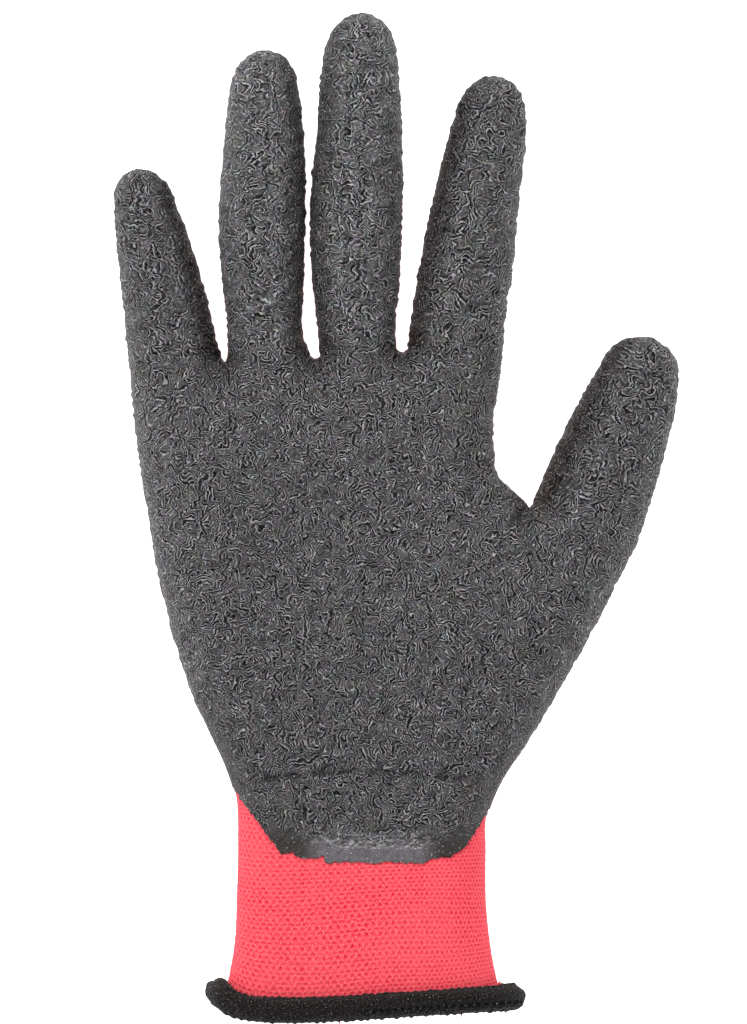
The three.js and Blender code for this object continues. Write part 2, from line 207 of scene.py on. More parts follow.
def through(knots, values, at):
    """A smooth curve through the rows of values at the knots, read at the places at."""
    knots, values = np.asarray(knots, float), np.asarray(values, float)
    slopes = np.gradient(values, knots, axis=0)
    i = np.clip(np.searchsorted(knots, at, side="right") - 1, 0, len(knots) - 2)
    width = (knots[i + 1] - knots[i])[:, None]
    t = (np.asarray(at)[:, None] - knots[i][:, None]) / width
    arrive, leave = t**2 * (3 - 2 * t), (1 - t) ** 2 * (1 + 2 * t)
    bend = slopes[i] * t * (1 - t) ** 2 - slopes[i + 1] * t**2 * (1 - t)
    return values[i] * leave + values[i + 1] * arrive + bend * width


def evenly(start, end, step):
    """Places from start to end, about a step apart."""
    return np.linspace(start, end, max(2, round((end - start) / step) + 1))


def ease(share):
    """Goes smoothly from 0 to 1 as share does."""
    share = np.clip(share, 0, 1)
    return share * share * (3 - 2 * share)


def digit_rings(base, sections, tip):
    """A digit's rings from its base to its tip, and how far along it each is."""
    last = sections[-1]
    dome = [(last[0] + (tip[0] - last[0]) * share, last[1] + (tip[1] - last[1]) * share,
             last[2] * math.sqrt(1 - share**2), last[3]) for share in DOME_SHARES]
    rings = np.array([base, *sections, *dome, (*tip, 0, last[3])])
    return rings, np.concatenate([[0], np.cumsum(np.hypot(*np.diff(rings[:, :2], axis=0).T))])


def digit_rows(body_end, end, step):
    """How far along a digit its rows are, and how long the way over the surface to them and the tip is."""
    body = evenly(0, body_end, step)[1:]
    dome_reach = end - body[-1]
    dome_rows = max(DOME_ROWS, round(dome_reach * DOME_WAY / step))
    dome_turns = np.linspace(0, np.pi / 2, dome_rows)[1:-1]
    at = np.concatenate([body, body[-1] + dome_reach * np.sin(dome_turns)])
    lengths = np.concatenate([body, body[-1] + dome_reach * dome_turns])
    return at, lengths, body[-1] + dome_reach * np.pi / 2


class GlovePlan:
    """The glove seen from above, as rows of points that each know their heights and their stitch."""

    NAMES = ("x", "y", "over", "under", "lift", "roll", "grown", "turn", "wale", "behind", "course", "dim")

    def __init__(self, across, step, wrist_step):
        self.step, self.wrist_step = step, wrist_step
        self.turns = -np.cos(np.linspace(0, np.pi, across + 1))
        self.web_shares = np.linspace(0, 1, max(2, round(WEB_WIDTH / step)) + 1)[1:-1]
        self.rows = {name: [] for name in self.NAMES}
        self.count, self.quads, self.tips, self.side = 0, [], [], []
        self.draw()
        self.points = {name: np.concatenate(rows) for name, rows in self.rows.items()}

    def add(self, **values):
        """Adds a row of points and returns their numbers. behind is the wale on the back, which runs on
        round the row's nearer end."""
        size = len(values["x"])
        wale = np.broadcast_to(np.asarray(values["wale"], float), size)
        to_end = np.where(np.arange(size) < size / 2, wale[0], wale[-1]) - wale
        values["behind"] = wale + 2 * to_end * (1 - ease((abs(to_end) - WRAPS_FOR) / WRAPS_FADE))
        for name in self.NAMES:
            self.rows[name].append(np.broadcast_to(np.asarray(values.get(name, 0), float), size))
        self.count += size
        return np.arange(self.count - size, self.count)

    def read(self, name, ids):
        """What the points with those numbers have under that name."""
        return np.concatenate(self.rows[name])[ids]

    def join(self, upper, lower):
        """Adds the quads between two rows."""
        self.quads.append(np.stack([lower[:-1], lower[1:], upper[1:], upper[:-1]], axis=1))

    def wrap(self, x, ends, roll, right=1):
        """How much further the stitches reach than x where the side curves down."""
        bent = 1 - np.clip(np.minimum(x - ends[0], ends[1] - x) / roll, 0, 1)
        return np.where(x < (ends[0] + ends[1]) / 2, -1, right) * roll * (np.arcsin(bent) - bent)

    def root(self, start, end, row, shares):
        """A digit's root or the bottom of a crotch, straight between its two ends."""
        x = start[0] + (end[0] - start[0]) * shares
        y = start[1] + (end[1] - start[1]) * shares
        wale = x + self.wrap(x, (row[0], row[2]), row[6])
        return self.add(x=x, y=y, over=row[4], under=row[5], roll=row[6], turn=2 * shares - 1,
                        wale=wale, course=y)

    def web(self, start, end, row):
        """The bottom of a crotch, which dips between the two digits."""
        ids = self.root(start, end, row, self.web_shares)
        self.rows["y"][-1] = self.rows["y"][-1] - WEB_DIP * (1 - (2 * self.web_shares - 1) ** 2)
        self.side.append(ids)
        return ids

    def digit(self, name, root, row):
        """The digit beyond its root, up to the tip."""
        curl, tip, dim, sections = (DIGITS[name][key] for key in ("curl", "tip", "dim", "sections"))
        xs, ys, wales = (self.read(key, root) for key in ("x", "y", "wale"))
        start = ((xs[0] + xs[-1]) / 2, (ys[0] + ys[-1]) / 2)
        wide, high = xs[-1] - xs[0], ys[-1] - ys[0]
        base = (*start, math.hypot(wide, high) / 2, math.degrees(math.atan2(high, wide)))
        rings, knots = digit_rings(base, sections, tip)
        at, lengths, tip_length = digit_rows(knots[len(sections)], knots[-1], self.step)
        drawn = through(knots, np.column_stack([rings[:, :2], rings[:, 2] ** 2, rings[:, 3]]), at)
        reach = math.hypot(tip[0] - start[0], tip[1] - start[1])
        self.side.append(root[[0, -1]])
        lower = root
        for (x, y, half_squared, lean), along, length in zip(drawn, at, lengths):
            half = math.sqrt(max(half_squared, TIP_HALF_SQUARED))
            turn, grown = math.radians(lean), float(ease(along / knots[1]))
            out = math.hypot(x - start[0], y - start[1]) / reach
            upper = self.add(
                x=x + self.turns * half * math.cos(turn), y=y + self.turns * half * math.sin(turn),
                over=row[4] + (OVER_SHARE * half - row[4]) * grown,
                under=row[5] + (UNDER_SHARE * half - row[5]) * grown,
                roll=row[6], grown=grown, turn=self.turns,
                dim=ease(along / DIM_OVER) * ease((self.turns * dim - DIM_FROM) / DIM_FADE),
                lift=curl * out**2 + UNDER_SHARE * max(0, sections[-1][2] - half),
                wale=wales * (1 - grown) + (start[0] + half * np.arcsin(self.turns)) * grown,
                course=start[1] + length + (ys - start[1]) * (1 - grown))
            self.side.append(upper[[0, -1]])
            self.join(upper, lower)
            lower = upper
        pole = self.add(x=[tip[0]], y=[tip[1]], lift=curl + UNDER_SHARE * sections[-1][2], grown=1,
                        wale=[start[0]], course=start[1] + tip_length)
        self.side.append(pole)
        self.tips.append(np.stack([lower[:-1], lower[1:], np.full(len(lower) - 1, pole[0])], axis=1))

    def hand(self, rows, fades, wraps, first, shares, wrist_from):
        """Rows of the hand under a first row, whose bend fades away."""
        rows = np.array(rows, float)
        bend_x = self.read("x", first) - (rows[0, 0] + (rows[0, 2] - rows[0, 0]) * shares)
        bend_y = self.read("y", first) - (rows[0, 1] + (rows[0, 3] - rows[0, 1]) * shares)
        knots = -(rows[:, 1] + rows[:, 3]) / 2
        at = evenly(knots[0], knots[wrist_from], self.step)[1:]
        if wrist_from < len(rows) - 1:
            at = np.concatenate([at, evenly(knots[wrist_from], knots[-1], self.wrist_step)[1:]])
        above = first
        for left, left_y, right, right_y, over, under, roll, sag, lift, fade, wrapped in through(
                knots, np.column_stack([rows, fades, wraps]), at):
            x = left + (right - left) * shares + bend_x * fade
            course = left_y + (right_y - left_y) * shares + bend_y * fade
            ids = self.add(x=x, y=course - sag * np.sin(np.pi * shares**SAG_SKEW), over=over, under=under,
                           roll=roll, lift=lift, wale=x + self.wrap(x, (left, right), roll, wrapped),
                           course=course)
            self.side.append(ids[[0, -1]])
            self.join(above, ids)
            above = ids
        return above

    def draw(self):
        """The whole plan, from the fingertips down to the mouth."""
        top = HAND_ROWS[0]
        web_ends = [(x + side * width / 2, y) for x, y, width in CROTCHES for side in (-1, 1)]
        ends = [top[:2], *web_ends, top[2:4]]
        shares = (1 + self.turns) / 2
        row = []
        for i, name in enumerate(FINGERS):
            row.append(self.root(ends[2 * i], ends[2 * i + 1], top, shares))
            if i < len(CROTCHES):
                row.append(self.web(ends[2 * i + 1], ends[2 * i + 2], top))
        for name, root in zip(FINGERS, row[::2]):
            self.digit(name, root, top)
        row = np.concatenate(row)
        hand_shares = (self.read("x", row) - top[0]) / (top[2] - top[0])
        x, y, width = THUMB_CROTCH
        joined = (*THUMB_ROW[:2], x - width / 2, y, *THUMB_ROW[4:])
        fades = np.linspace(1, 0, len(HAND_ROWS) + 1)
        row = self.hand([*HAND_ROWS, joined], fades, WRAPS_TO_THUMB, row, hand_shares, len(HAND_ROWS))
        web = self.web((x - width / 2, y), (x + width / 2, y), THUMB_ROW)
        root = self.root((x + width / 2, y), THUMB_ROW[2:4], THUMB_ROW, shares)
        self.digit("thumb", root, THUMB_ROW)
        row = np.concatenate([row, web, root])
        thumb_to = THUMB_FROM + THUMB_WEB
        heel_shares = np.concatenate([
            hand_shares * THUMB_FROM,
            THUMB_FROM + THUMB_WEB * self.web_shares,
            thumb_to + (1 - thumb_to) * shares,
        ])
        fades = [*np.linspace(1, 0, len(HEEL_ROWS) + 1), *[0] * len(WRIST_ROWS)]
        rows = [THUMB_ROW, *HEEL_ROWS, *WRIST_ROWS]
        self.mouth = self.hand(rows, fades, np.ones(len(rows)), row, heel_shares, len(HEEL_ROWS))


def split_quads(quads):
    """Two triangles for each quad."""
    return np.vstack([quads[:, [0, 1, 2]], quads[:, [0, 2, 3]]])


def between_loops(loops, around):
    """The quads between closed loops of points, one loop after the other."""
    number = np.arange(loops * around).reshape(loops, around)
    beside = np.roll(number, -1, axis=1)
    return np.stack([number[:-1], beside[:-1], beside[1:], number[1:]], axis=-1).reshape(-1, 4)


def unit(vectors):
    """The vectors' directions, each 1 long."""
    return vectors / np.linalg.norm(vectors, axis=-1, keepdims=True)


def outward(points, triangles):
    """Each point's direction out of the surface."""
    a, b, c = (points[triangles[:, i]] for i in range(3))
    facing = np.cross(b - a, c - a)
    total = np.zeros_like(points)
    for i in range(3):
        for axis in range(3):
            total[:, axis] += np.bincount(triangles[:, i], facing[:, axis], len(points))
    return unit(total)


def led_by(triangles, first):
    """The triangles, each starting at its corner with that number."""
    return np.take_along_axis(triangles, (first[:, None] + np.arange(3)) % 3, axis=1)


class Surface:
    """Points in metres, triangles, and what each point knows, one array for each name."""

    def __init__(self, points, triangles, **known):
        self.points, self.triangles, self.known = points, triangles, known

    def moved(self, distance):
        """The points, moved outwards by so many mm."""
        return self.points + self.known["outward"] * np.reshape(distance, (-1, 1)) * MM

    def kept(self, depth):
        """The part where depth is over zero, cut cleanly along the line where it is zero, and the cut's
        edges."""
        inside = depth > 0
        ways_in = inside[self.triangles].sum(1)
        whole = self.triangles[ways_in == 3]
        one, two = self.triangles[ways_in == 1], self.triangles[ways_in == 2]
        one = led_by(one, np.argmax(inside[one], axis=1))
        two = led_by(two, np.argmin(inside[two], axis=1))
        crossings = np.vstack([one[:, [0, 1]], one[:, [0, 2]], two[:, [0, 1]], two[:, [0, 2]]])
        edges, number = np.unique(np.sort(crossings, axis=1), axis=0, return_inverse=True)
        number = number.reshape(-1) + len(self.points)
        n, m = len(one), len(two)
        one_b, one_c, two_b, two_c = np.split(number, [n, 2 * n, 2 * n + m])
        triangles = np.vstack([
            whole,
            np.column_stack([one[:, 0], one_b, one_c]),
            np.column_stack([two_b, two[:, 1], two[:, 2]]),
            np.column_stack([two_b, two[:, 2], two_c]),
        ])
        cut = np.vstack([np.column_stack([one_b, one_c]), np.column_stack([two_c, two_b])])
        share = depth[edges[:, 0]] / (depth[edges[:, 0]] - depth[edges[:, 1]])

        def extended(values):
            """The values, and behind them those at the new points on the cut edges."""
            start, end = values[edges[:, 0]], values[edges[:, 1]]
            way = share.reshape(-1, *[1] * (values.ndim - 1))
            return np.concatenate([values, start + (end - start) * way])

        used, place = np.unique(triangles, return_inverse=True)
        renumber = np.zeros(len(self.points) + len(edges), int)
        renumber[used] = np.arange(len(used))
        known = {name: extended(values)[used] for name, values in self.known.items()}
        return Surface(extended(self.points)[used], place.reshape(-1, 3), **known), renumber[cut]


def from_side_line(p, side):
    """How far each point of the plan is from the nearest one on its side line."""
    line = kdtree.KDTree(int(side.sum()))
    for i in np.flatnonzero(side):
        line.insert((p["x"][i], p["y"][i], 0), int(i))
    line.balance()
    return np.array([line.find((x, y, 0))[2] for x, y in zip(p["x"], p["y"])])


def knitted_surface(across, step, wrist_step):
    """The outside of the knit, open at the mouth, with the mouth's points in order round it."""
    plan = GlovePlan(across, step, wrist_step)
    p = plan.points
    side = np.zeros(plan.count, bool)
    side[np.concatenate(plan.side)] = True
    distance = from_side_line(p, side)
    round_digit = np.sqrt(np.maximum(0, 1 - p["turn"] ** 2)) * p["grown"]

    def bulge(roll):
        """How high each point is over its side line, from 0 to 1, where the sides are so round."""
        from_side = np.sqrt(1 - (1 - np.clip(distance / np.maximum(roll, 1), 0, 1)) ** 2)
        return np.where(side, 0, from_side * (1 - p["grown"]) + round_digit)

    mound = sum(
        height * np.exp(-((p["x"] - x) ** 2 + (p["y"] - y) ** 2) / (2 * spread**2))
        for x, y, spread, height in MOUNDS)
    side_z = p["under"] + p["lift"]
    palm = np.column_stack([p["x"], p["y"], side_z + (p["over"] + mound) * bulge(p["roll"])])
    back = np.column_stack([p["x"], p["y"], side_z - p["under"] * bulge(p["roll"] * UNDER_ROLL_SHARE)])
    off_side = np.flatnonzero(~side)
    behind = np.arange(plan.count)
    behind[off_side] = plan.count + np.arange(len(off_side))
    front = np.vstack([split_quads(np.vstack(plan.quads)), np.vstack(plan.tips)])
    triangles = np.vstack([front, behind[front][:, ::-1]])
    points = (np.vstack([palm, back[off_side]]) + (*PLAN_MIDDLE, 0)) * MM
    known = {name: np.concatenate([p[name], p[name][off_side]])
             for name in ("wale", "course", "grown", "turn", "dim")}
    known["wrapped"] = np.concatenate([p["wale"], p["behind"][off_side]])
    face = bulge(p["roll"])
    known["face"] = np.concatenate([face, face[off_side]])
    known["plan"] = np.concatenate([palm, back[off_side]])
    known["outward"] = outward(points, triangles)
    mouth = np.concatenate([plan.mouth, behind[plan.mouth[1:-1]][::-1]])
    return Surface(points, triangles, **known), mouth


def add_piece(name, points, triangles, uv, material, **known):
    """A smooth piece of the glove, with its place in the knit as the UV map, in mm."""
    mesh = bpy.data.meshes.new(name)
    mesh.from_pydata(points.tolist(), [], triangles.tolist())
    mesh.polygons.foreach_set("use_smooth", np.ones(len(triangles), bool))
    corners = np.zeros(len(mesh.loops), np.int32)
    mesh.loops.foreach_get("vertex_index", corners)
    mesh.uv_layers.new(name="stitches").data.foreach_set("uv", uv[corners].astype(np.float32).ravel())
    for key, values in known.items():
        mesh.attributes.new(key, "FLOAT", "POINT").data.foreach_set("value", values.astype(np.float32))
    mesh.materials.append(material)
    piece = placed(name, mesh)
    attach(piece, "root")
    return piece


def joined(parts):
    """The points, triangles and uv of several parts as one."""
    points, triangles, uv = zip(*parts)
    starts = np.cumsum([0, *(len(part) for part in points[:-1])])
    triangles = [part + start for part, start in zip(triangles, starts)]
    return np.vstack(points), np.vstack(triangles), np.vstack(uv)


WAVES_VARY = (0.85, 1.15)


def ripple(x, y, height, length, seed, waves=48):
    """Even random waves of about that height and length."""
    rng = np.random.default_rng(seed)
    total = np.zeros_like(x)
    for _ in range(waves):
        way, start, k = rng.uniform(0, 2 * np.pi), rng.uniform(0, 2 * np.pi), 2 * np.pi / length
        k *= rng.uniform(*WAVES_VARY)
        total += np.cos(k * (x * math.cos(way) + y * math.sin(way)) + start)
    return height * math.sqrt(2 / waves) * total


# Points of the coating's edge at the wrist, from the little finger's side to the thumb's, in mm of
# the plan, with the small teeth that the dip left.
DIP_EDGE = [
    (-90, -36), (-48, -52), (-39.6, -67), (-27.9, -83.3), (-25.1, -82.7), (-24.2, -84.1), (-18.9, -84.3),
    (-17.4, -83.6), (-16.9, -85.8), (-15.2, -85.3), (-9.5, -85.1), (-4.7, -85.6), (-2.2, -85.1),
    (7.2, -85.6), (9.2, -84.3), (13.7, -84.1), (16.7, -82.2), (19.2, -78.9), (23.7, -71.5), (34, -60),
    (90, -36),
]
DIP_LEVEL = 3.6  # how high off the table the dip stopped on the sides of the hand
RAGGED_EDGE, RAGGED_SIDES = (0.16, 1.7, 11), (0.25, 4, 12)  # height, length and seed of their waves


def depth_in_dip(surface):
    """How far each point is inside the coating's edge at the wrist, and inside its edge on the sides."""
    x, y, z = surface.known["plan"].T
    edge = np.array(DIP_EDGE)
    nearest = np.full(len(x), np.inf)
    for start, end in zip(edge[:-1], edge[1:]):
        way = end - start
        share = np.clip(((x - start[0]) * way[0] + (y - start[1]) * way[1]) / (way @ way), 0, 1)
        gap = np.hypot(x - start[0] - share * way[0], y - start[1] - share * way[1])
        nearest = np.minimum(nearest, gap)
    above = y > np.interp(x, edge[:, 0], edge[:, 1])
    wrist = np.where(above, nearest, -nearest) + ripple(x, y, *RAGGED_EDGE)
    return wrist, z - DIP_LEVEL + ripple(x, y, *RAGGED_SIDES)


WALE = 1.78  # mm between two columns of stitches at the little finger's side
COURSE = 1.04  # and between two rows
CLOSER = {"mean": 1.27, "more": 2.16, "middle": 4, "over": 8}  # how the columns draw together
ROWS_WANDER = (0.45, 34, 5, 12)  # height, length, seed and number of the waves in the rows
ARCH = 0.6  # how far the gap over each loop bows upwards
EVEN_GAP, ODD_GAP = (-0.45, 0.55), (0.95, 0.0)  # where the gaps of even and odd rows open across a stitch
STITCH_RELIEF, ODD_RELIEF = 0.08, 0.8  # the gaps' depth, and the share of it that odd rows have


def stitch_places(surface):
    """Where each point is in the knit. The columns lie closer towards the thumb's side, and the rows
    wander a little."""
    wale, course = surface.known["wale"], surface.known["course"]
    more = np.log(np.cosh((wale - CLOSER["middle"]) / CLOSER["over"]))
    closer = CLOSER["mean"] * wale + CLOSER["more"] * more
    return np.column_stack([closer, course + ripple(wale, course, *ROWS_WANDER)])


def stitch_relief(places):
    """The gaps over the loops, in a brick pattern."""
    across = np.cos(places[:, 0] * 2 * np.pi / WALE)
    down = np.cos(places[:, 1] * np.pi / COURSE - ARCH * across**2)
    even, odd = (ease((across - start) / (full - start)) for start, full in (EVEN_GAP, ODD_GAP))
    return -STITCH_RELIEF * (even * ease(down) + ODD_RELIEF * odd * ease(-down))


def calculate(operation, *values):
    """The result of one Math node."""
    return node_after("Math", dict(enumerate(values)), operation=operation).outputs[0]


def times(first, second):
    """The product of two values."""
    return calculate("MULTIPLY", first, second)


def plus(base, value, factor):
    """The base, and the value so many times."""
    return calculate("MULTIPLY_ADD", value, factor, base)


def on_vector(operation, *vectors):
    """The result of one Vector Math node."""
    return node_after("VectorMath", dict(enumerate(vectors)), operation=operation).outputs[0]


def x_of(place):
    """The place's first number."""
    return node_after("SeparateXYZ", {0: place}).outputs[0]


def blended(share, first, second, **settings):
    """A colour from first to second."""
    mix = node_after("Mix", {0: share, 6: first, 7: second}, data_type="RGBA", **settings)
    return mix.outputs[2]


def spread(value, low, high, start=0.0, end=1.0):
    """The value, taken smoothly from between low and high to between start and end."""
    inputs = {0: value, 1: low, 2: high, 3: start, 4: end}
    return node_after("MapRange", inputs, interpolation_type="SMOOTHSTEP").outputs[0]


SOFT, FINE = 1.0, 2.0  # how finely a noise is broken up
WIDE, MIDDLE, NARROW = (0.3, 0.7), (0.35, 0.65), (0.4, 0.6)  # ranges of a noise that get spread out


def noise(place, scale, detail=0.0, output="Fac"):
    """Soft noise on the flat place, with scale lumps to a mm."""
    inputs = {"Vector": place, "Scale": scale, "Detail": detail}
    return node_after("TexNoise", inputs, noise_dimensions="2D").outputs[output]


def long_noise(place, scales, detail=0.0):
    """Soft noise that is drawn out, with so many lumps to a mm along x and y."""
    return noise(on_vector("MULTIPLY", place, scales), 1.0, detail)


def wander(place, scale, amount):
    """The place moved about by soft noise."""
    centred = on_vector("SUBTRACT", noise(place, scale, SOFT, "Color"), (0.5, 0.5, 0.5))
    return on_vector("MULTIPLY_ADD", centred, (amount,) * 3, place)


def finish(shader, colour, height, distance, strength=1.0):
    """Gives the material its colour, and a relief that stands out by so many mm."""
    inputs = {"Height": height, "Distance": distance * MM, "Strength": strength}
    links = shader.id_data.links
    links.new(node_after("Bump", inputs).outputs[0], shader.inputs["Normal"])
    links.new(colour, shader.inputs["Base Color"])


YARN_REDS = (0.61, 0.042, 0.058, 1), (0.83, 0.116, 0.141, 1)  # between the yarn's fibres, and on them
GAP_SHADE_RED = (0.54, 0.010, 0.034, 1)
WORN_RED, WORN, WORN_PATCHES = (0.80, 0.110, 0.130, 1), 0.16, 0.05  # large patches are that much duller
EVEN_DOWN, ODD_DOWN = (0.25, 0.9), (-0.5, -1.0)  # where the painted shade of the gaps opens down a stitch
ODD_DARK = 0.9  # how dark those of odd rows are beside those of even rows
UNSTEADY = (0.6, 0.35)  # the stitches sway: lumps to a mm, and mm
UNEVEN, UNEVEN_PATCHES = (0.6, 1.08), 0.5  # the least and the most that a patch of gaps shows
KNIT_FIBRES, FIBRE_HEIGHT = 2.2, 0.5  # the yarn's fuzz, in lumps to a mm
KNIT_BUMP, KNIT_BUMP_STRENGTH = 0.13, 0.9

knit_material, tree, shader = new_material("coral_knit", {
    "Roughness": 0.85, "Specular IOR Level": 0.1, "Sheen Weight": 0.02, "Sheen Roughness": 0.5})
stitches = add_node(tree, "TexCoord").outputs["UV"]
stitch = node_after("SeparateXYZ", {0: wander(stitches, *UNSTEADY)})
across = calculate("COSINE", times(stitch.outputs[0], 2 * math.pi / WALE))
bow = times(times(across, across), -ARCH)
down = calculate("COSINE", plus(bow, stitch.outputs[1], math.pi / COURSE))
even_gap = times(spread(across, *EVEN_GAP), spread(down, *EVEN_DOWN))
odd_gap = times(spread(across, *ODD_GAP), spread(down, *ODD_DOWN))
uneven = spread(noise(stitches, UNEVEN_PATCHES, FINE), *WIDE, *UNEVEN)
gap = times(plus(even_gap, odd_gap, ODD_DARK), uneven)
fuzz = noise(stitches, KNIT_FIBRES, FINE)
yarn = blended(spread(fuzz, *WIDE), *YARN_REDS)
# Painted shade in the gaps over the loops.
yarn = blended(gap, yarn, GAP_SHADE_RED)
worn = spread(noise(stitches, WORN_PATCHES, FINE), *MIDDLE, 0.0, WORN)
yarn = blended(worn, yarn, WORN_RED)
finish(shader, yarn, plus(times(fuzz, FIBRE_HEIGHT), gap, -1.0), KNIT_BUMP, KNIT_BUMP_STRENGTH)

# The coating hides most of the knit, which is finely made only where it shows and a little way under
# the coating's edge.
SHOWN_DETAIL, COARSE_DETAIL = (24, 0.85, 0.42), (10, 2.2, 2.2)  # cells across a digit, and their lengths
HIDDEN_FROM, OVERLAP = 4.0, 1.5  # how far under the edge the coarse knit takes over, and how far both go
TUCK = 0.15  # the hidden knit lies this much under the shown one
LINER_WALL = 1.2

knit, mouth = knitted_surface(*SHOWN_DETAIL)
knit_depth = np.minimum(*depth_in_dip(knit))
knit.known["stitch"] = stitch_places(knit)
knit.points = knit.moved(stitch_relief(knit.known["stitch"]))
mouth_rim = knit.points[mouth]
mouth_out = knit.known["outward"][mouth]
shown, _ = knit.kept(HIDDEN_FROM - knit_depth)
coarse, _ = knitted_surface(*COARSE_DETAIL)
coarse.known["stitch"] = stitch_places(coarse)
hidden, _ = coarse.kept(np.minimum(*depth_in_dip(coarse)) - HIDDEN_FROM + OVERLAP)
rim_points = np.vstack([mouth_rim, mouth_rim - mouth_out * LINER_WALL * MM])
rim_triangles = split_quads(between_loops(2, len(mouth))[:, ::-1])
liner = add_piece("seamless_liner", *joined([
    (shown.points, shown.triangles, shown.known["stitch"]),
    (hidden.moved(-TUCK), hidden.triangles, hidden.known["stitch"]),
    (coarse.moved(-LINER_WALL), coarse.triangles[:, ::-1], coarse.known["stitch"]),
    (rim_points, rim_triangles, np.vstack([knit.known["stitch"][mouth]] * 2)),
]), knit_material)
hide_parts("knit_liner")

# The coating: rubber foam that the palm was dipped in on its former, and that shrank into fine crinkles
# as it cured. It is bonded to the knit, wraps round the fingertips, and ends in a thin torn edge.
COATING_DETAIL = (40, 0.6, 0.6)
COATING_OFF, EDGE_OFF = 1.1, 0.45  # how far outside the knit its face is, and its thin edge
THIN_FOR = 6.0  # the edge thickens over this way
THIN_AT_SIDES, SIDES_THIN_FOR = 0.3, 2  # and on the sides from this share, and over this way
THIN_IN_WEBS, WEB_SPREAD = 0.3, 30  # it is so much thinner in the webs, and over this spread, squared
PUCKERS = [(0.2, 6.5, 31), (0.16, 3.4, 32)]  # height, length and seed of the larger crinkles
FINE_PUCKER = (0.09, 1.9, 33)
PUCKER_FROM, PUCKER_BEHIND = 2, 0.3  # they start this far from the edge, and the sides keep this share
FREE_FROM, FREE_OVER = 6, 3  # the digits from here to the thumb's side are crinkled in all directions
LIVELY = {"palm": 0.8, "digit": 0.64, "band": 0.3, "free": 0.9}  # how deep the crinkles are there
LIVELY_AT_EDGE, LIVELY_OVER = 0.7, 9  # and by the edge, from where they deepen over this way
PALER = {"x": -20, "spread": 25, "much": 0.52}  # the longest fingers are painted lighter, as negative shade
SHADED = {"web": 0.7, "edge": 0.35, "reach": 12}  # webs and the edge are darker
CALM_BAND, CALM_END = 3.6, 5.6  # the edge is smooth for this far, and crinkled again from there
CALM_BELOW, CALM_FADE = -75, 6  # but only at the bottom, not on its slanting sides
HEEL_CREASE = {"x": -8, "y": -63, "bend": -0.003, "reach": 30, "fade": 8, "width": 0.9, "depth": 0.4}
PAINTED_SHEEN = {"x": -6, "reach": 11, "fade": 7}  # where the smooth edge has a painted sheen
BRIMS, BRIM_WIDTH = (4.0, 5.3, 6.8), 0.35  # fine wrinkles with painted highlights run along its top
BAND_TURN, BAND_SPREAD = -0.1, 0.36  # where on a digit's width the deep crinkles run along it


def at_least(least, share):
    """The share, drawn up so that 0 becomes least."""
    return least + (1 - least) * share


rubber, _ = knitted_surface(*COATING_DETAIL)
wrist_depth, side_depth = depth_in_dip(rubber)
plan_x, plan_y, _ = rubber.known["plan"].T
grown = rubber.known["grown"]
face = ease(rubber.known["face"])
from_crease = plan_y - HEEL_CREASE["y"] - HEEL_CREASE["bend"] * (plan_x - HEEL_CREASE["x"]) ** 2
crease = np.exp(-((from_crease / HEEL_CREASE["width"]) ** 2)) * face
crease *= ease((HEEL_CREASE["reach"] - abs(plan_x - HEEL_CREASE["x"])) / HEEL_CREASE["fade"])
thick_at_sides = at_least(THIN_AT_SIDES, ease(side_depth / SIDES_THIN_FOR))
thick = np.minimum(ease(wrist_depth / THIN_FOR), thick_at_sides)
pucker = sum(ripple(plan_x, plan_y, *waves) for waves in PUCKERS)
pucker = pucker * at_least(PUCKER_BEHIND, face) + ripple(plan_x, plan_y, *FINE_PUCKER)
pucker = pucker * ease((wrist_depth - PUCKER_FROM) / THIN_FOR) - HEEL_CREASE["depth"] * crease
near_web = sum(
    np.exp(-((plan_x - x) ** 2 + (plan_y - y) ** 2) / WEB_SPREAD) for x, y, _ in (*CROTCHES, THUMB_CROTCH))
off = (EDGE_OFF + (COATING_OFF - EDGE_OFF) * thick) * (1 - THIN_IN_WEBS * np.clip(near_web, 0, 1)) + pucker
low = ease((CALM_BELOW - plan_y) / CALM_FADE)
calm = (1 - ease((wrist_depth - CALM_BAND) / (CALM_END - CALM_BAND))) * low
free = ease((plan_x - FREE_FROM) / FREE_OVER)
band = np.exp(-(((rubber.known["turn"] - BAND_TURN) / BAND_SPREAD) ** 2))
band *= ease((FREE_FROM - plan_x) / FREE_OVER)
on_digits = np.maximum(LIVELY["digit"] + LIVELY["band"] * band, LIVELY["free"] * free)
lively = (1 - grown) * at_least(LIVELY["palm"], face) + grown * on_digits
paler = PALER["much"] * grown * np.exp(-(((plan_x - PALER["x"]) / PALER["spread"]) ** 2))
sheen_here = (1 - ease((abs(plan_x - PAINTED_SHEEN["x"]) - PAINTED_SHEEN["reach"]) / PAINTED_SHEEN["fade"])) * low
shaded = SHADED["web"] * near_web + SHADED["edge"] * (1 - ease(wrist_depth / SHADED["reach"]))
looks = {
    "calm": calm,
    "lively": lively * at_least(LIVELY_AT_EDGE, ease((wrist_depth - CALM_BAND) / LIVELY_OVER)),
    "crease": crease,
    "painted_sheen": calm * sheen_here,
    "brim_highlight": sheen_here * sum(np.exp(-(((wrist_depth - depth) / BRIM_WIDTH) ** 2)) for depth in BRIMS),
    # painted shade, and less of it on the longest fingers, which come out painted lighter
    "shade": np.clip(rubber.known["dim"] + shaded, 0, 1) - paler,
    "grown": grown,
    "band": grown * band,
}
rubber.known.update(looks, skin=rubber.points.copy())
rubber.points = rubber.moved(off)
dipped, cut = rubber.kept(np.minimum(wrist_depth, side_depth))
lip = np.unique(cut)
lip_place = np.zeros(len(dipped.points), int)
lip_place[lip] = np.arange(len(lip)) + len(dipped.points)
lip_quads = np.column_stack([cut[:, 1], cut[:, 0], lip_place[cut[:, 0]], lip_place[cut[:, 1]]])
with_lip = np.concatenate([np.arange(len(dipped.points)), lip])


def attribute(tree, name):
    """What the mesh says at each point under that name."""
    return add_node(tree, "Attribute", attribute_name=name).outputs["Fac"]


